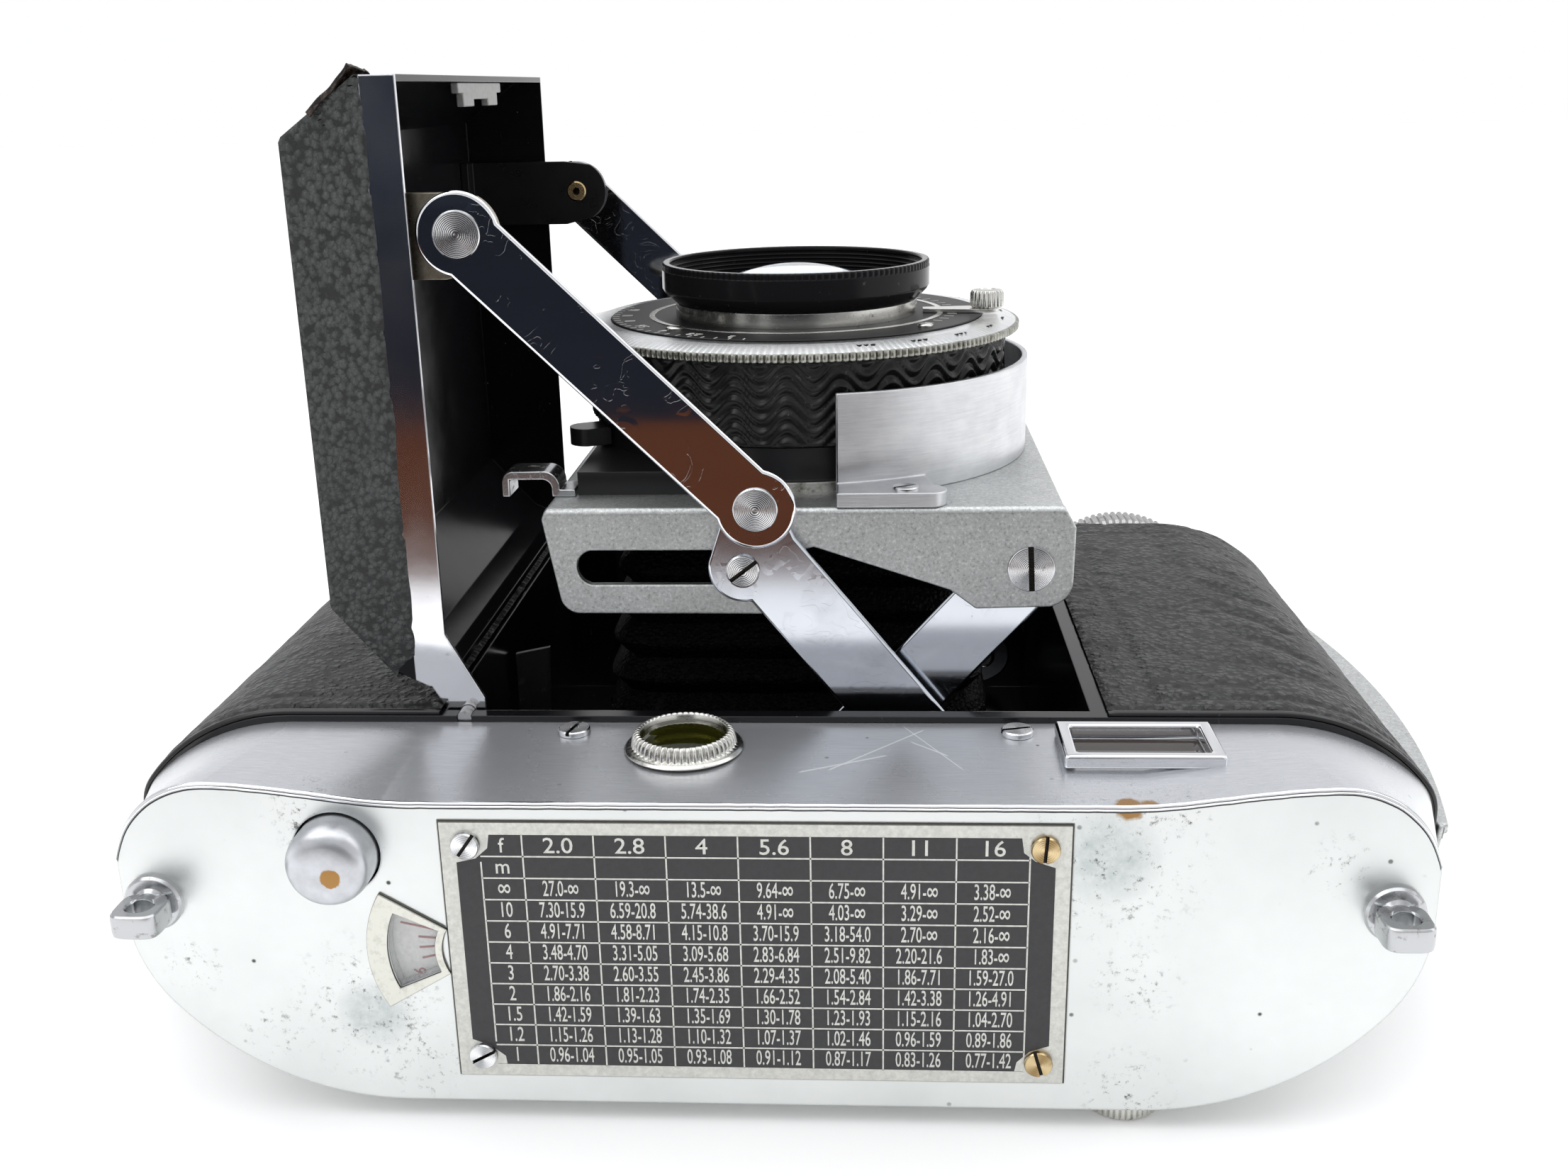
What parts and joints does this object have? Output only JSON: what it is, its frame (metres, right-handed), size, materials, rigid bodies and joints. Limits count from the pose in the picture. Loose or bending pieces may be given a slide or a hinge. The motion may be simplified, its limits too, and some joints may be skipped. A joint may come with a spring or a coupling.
{
  "type": "folding camera",
  "caption": "Strut-folding 35 mm film camera lying on its back, hinged front door open, lens standard out on scissor links, chrome top housing with a distance table.",
  "frame": {"origin": "on the lens axis, in the plane of the leather-covered back that the camera rests on", "axes": "+X along the body's length towards the hinge-free end of the door, +Y from the top plate to the base plate, +Z out of the lens"},
  "size_m": [0.1311, 0.0997, 0.0915],
  "materials": {
    "black_enamel": "gloss black enamel on cast aluminium",
    "black_leather": "pebbled and embossed, slightly worn",
    "satin_chrome": "satin with fine pits and scuffs",
    "polished_chrome": "polished",
    "nickel": "turned and plated",
    "table_print": "black filled etched plate",
    "dial_white": "matt white with red marks",
    "clear_glass": "coated",
    "black_metal": "satin black lacquer",
    "brass": "bare and tarnished",
    "brushed_aluminium": "brushed",
    "grip_rubber": "moulded wave pattern",
    "bellows_leather": "folded, dull",
    "spring_steel": "rolled"
  },
  "bodies": {
    "camera_body": {"body_casting": "black_enamel", "leather_left": "black_leather", "leather_right": "black_leather", "top_housing": "satin_chrome", "base_plate": "satin_chrome", "distance_table": "table_print", "cover_screws": "nickel", "counter_frame": "nickel", "strap_lugs": "polished_chrome", "rangefinder_ring": "nickel", "window_glasses": "clear_glass", "viewfinder_frame": "polished_chrome", "rangefinder_prism": "clear_glass", "eyepiece_ring": "nickel", "film_gate": "black_enamel", "tripod_bush": "brass", "foot_pins": "nickel", "link_rails": "black_metal", "wall_guides": "black_metal", "door_hinge_pin": "nickel", "bellows": "bellows_leather", "back_hinge_barrel": "nickel"},
    "counter": {"counter_dial": "dial_white"},
    "button": {"release_button": "polished_chrome"},
    "wind": {"wind_knob": "nickel"},
    "takeup": {"takeup_spool": "black_metal"},
    "roller": {"film_roller": "black_metal"},
    "rewind": {"rewind_knob": "nickel"},
    "door": {"door_pan": "black_enamel", "door_leather": "black_leather", "door_catch": "nickel", "strut_brackets": "brass", "strut_rivets": "nickel"},
    "strut": {"struts": "polished_chrome", "strut_pins": "nickel"},
    "lower_link": {"lower_links": "polished_chrome", "slide_pins": "nickel"},
    "cross_link": {"cross_links": "polished_chrome"},
    "standard": {"standard_frame": "satin_chrome", "standard_screws": "nickel", "stay_hook": "nickel", "lens_guard": "brushed_aluminium", "helicoid_base": "black_metal"},
    "focus": {"focus_ring": "grip_rubber", "focus_lever": "black_metal"},
    "lens_block": {"shutter_housing": "black_metal", "face_plate": "black_metal", "lens_barrel": "nickel", "front_ring": "black_metal", "front_glass": "clear_glass", "rear_glass": "clear_glass", "shutter_blades": "black_metal"},
    "speed": {"speed_ring": "nickel"},
    "cocking": {"cocking_lever": "nickel"},
    "back": {"back_cover": "satin_chrome", "back_leather": "black_leather", "pressure_plate": "black_metal", "pressure_spring": "spring_steel", "back_end_strip": "nickel"},
    "latch": {"back_latch": "nickel"}
  },
  "joints": [
    {"name": "door_hinge", "type": "hinge", "parent": "camera_body", "child": "door", "pos_m": [-0.031, 0, 0.0326], "axis": [0, 1, 0], "range_deg": [0, 90]},
    {"name": "strut_pivot", "type": "hinge", "parent": "door", "child": "strut", "pos_m": [-0.0286, 0, 0.0778], "axis": [0, 1, 0], "range_deg": [0, 33.35]},
    {"name": "lower_link_pivot", "type": "hinge", "parent": "camera_body", "child": "lower_link", "pos_m": [0.0231, 0, 0.016], "axis": [0, 1, 0], "range_deg": [-47.35, 0]},
    {"name": "standard_travel", "type": "slide", "parent": "camera_body", "child": "standard", "axis": [0, 0, 1], "range_m": [-0.02881, 0], "deforming": ["bellows"]},
    {"name": "cross_link_pivot", "type": "hinge", "parent": "standard", "child": "cross_link", "pos_m": [0.0231, 0, 0.046], "axis": [0, 1, 0], "range_deg": [0, 47.35]},
    {"name": "focus_turn", "type": "hinge", "parent": "standard", "child": "focus", "pos_m": [0, 0, 0.06], "axis": [0, 0, 1], "range_deg": [-60.1, 0]},
    {"name": "lens_advance", "type": "slide", "parent": "standard", "child": "lens_block", "axis": [0, 0, 1], "range_m": [0, 0.0005]},
    {"name": "speed_turn", "type": "hinge", "parent": "lens_block", "child": "speed", "pos_m": [0, 0, 0.0655], "axis": [0, 0, 1], "range_deg": [-60, 60]},
    {"name": "cocking_turn", "type": "hinge", "parent": "lens_block", "child": "cocking", "pos_m": [0, 0, 0.067], "axis": [0, 0, 1], "range_deg": [0, 40]},
    {"name": "release_press", "type": "slide", "parent": "camera_body", "child": "button", "axis": [0, 1, 0], "range_m": [0, 0.002], "stiffness_N_per_m": 400},
    {"name": "wind_turn", "type": "hinge", "parent": "camera_body", "child": "wind", "pos_m": [0.0423, 0.04, 0.0198], "axis": [0, 1, 0], "continuous": true},
    {"name": "takeup_turn", "type": "hinge", "parent": "camera_body", "child": "takeup", "pos_m": [0.0423, 0, 0.0198], "axis": [0, 1, 0], "continuous": true},
    {"name": "roller_turn", "type": "hinge", "parent": "camera_body", "child": "roller", "pos_m": [0.0274, 0, 0.0074], "axis": [0, 1, 0], "continuous": true},
    {"name": "counter_turn", "type": "hinge", "parent": "camera_body", "child": "counter", "pos_m": [-0.0256, -0.048, 0.0175], "axis": [0, 1, 0], "continuous": true},
    {"name": "rewind_turn", "type": "hinge", "parent": "camera_body", "child": "rewind", "pos_m": [-0.048, 0.04, 0.0176], "axis": [0, 1, 0], "continuous": true},
    {"name": "back_hinge", "type": "hinge", "parent": "camera_body", "child": "back", "pos_m": [-0.0614, 0, 0.0114], "axis": [0, 1, 0], "range_deg": [0, 95]},
    {"name": "latch_slide", "type": "slide", "parent": "back", "child": "latch", "axis": [0, 1, 0], "range_m": [0, 0.004]}
  ],
  "couplings": [
    {"joint": "strut_pivot", "follows": "door_hinge", "ratio": 0.37},
    {"joint": "lower_link_pivot", "follows": "door_hinge", "ratio": -0.52556},
    {"joint": "cross_link_pivot", "follows": "door_hinge", "ratio": 0.52556},
    {"joint": "standard_travel", "follows": "door_hinge", "m_per_rad": -0.018335},
    {"joint": "focus_turn", "follows": "lens_advance", "rad_per_m": -2094.4},
    {"joint": "takeup_turn", "follows": "wind_turn", "ratio": 1},
    {"joint": "roller_turn", "follows": "wind_turn", "ratio": 2.9474},
    {"joint": "counter_turn", "follows": "wind_turn", "ratio": -0.02315}
  ]
}
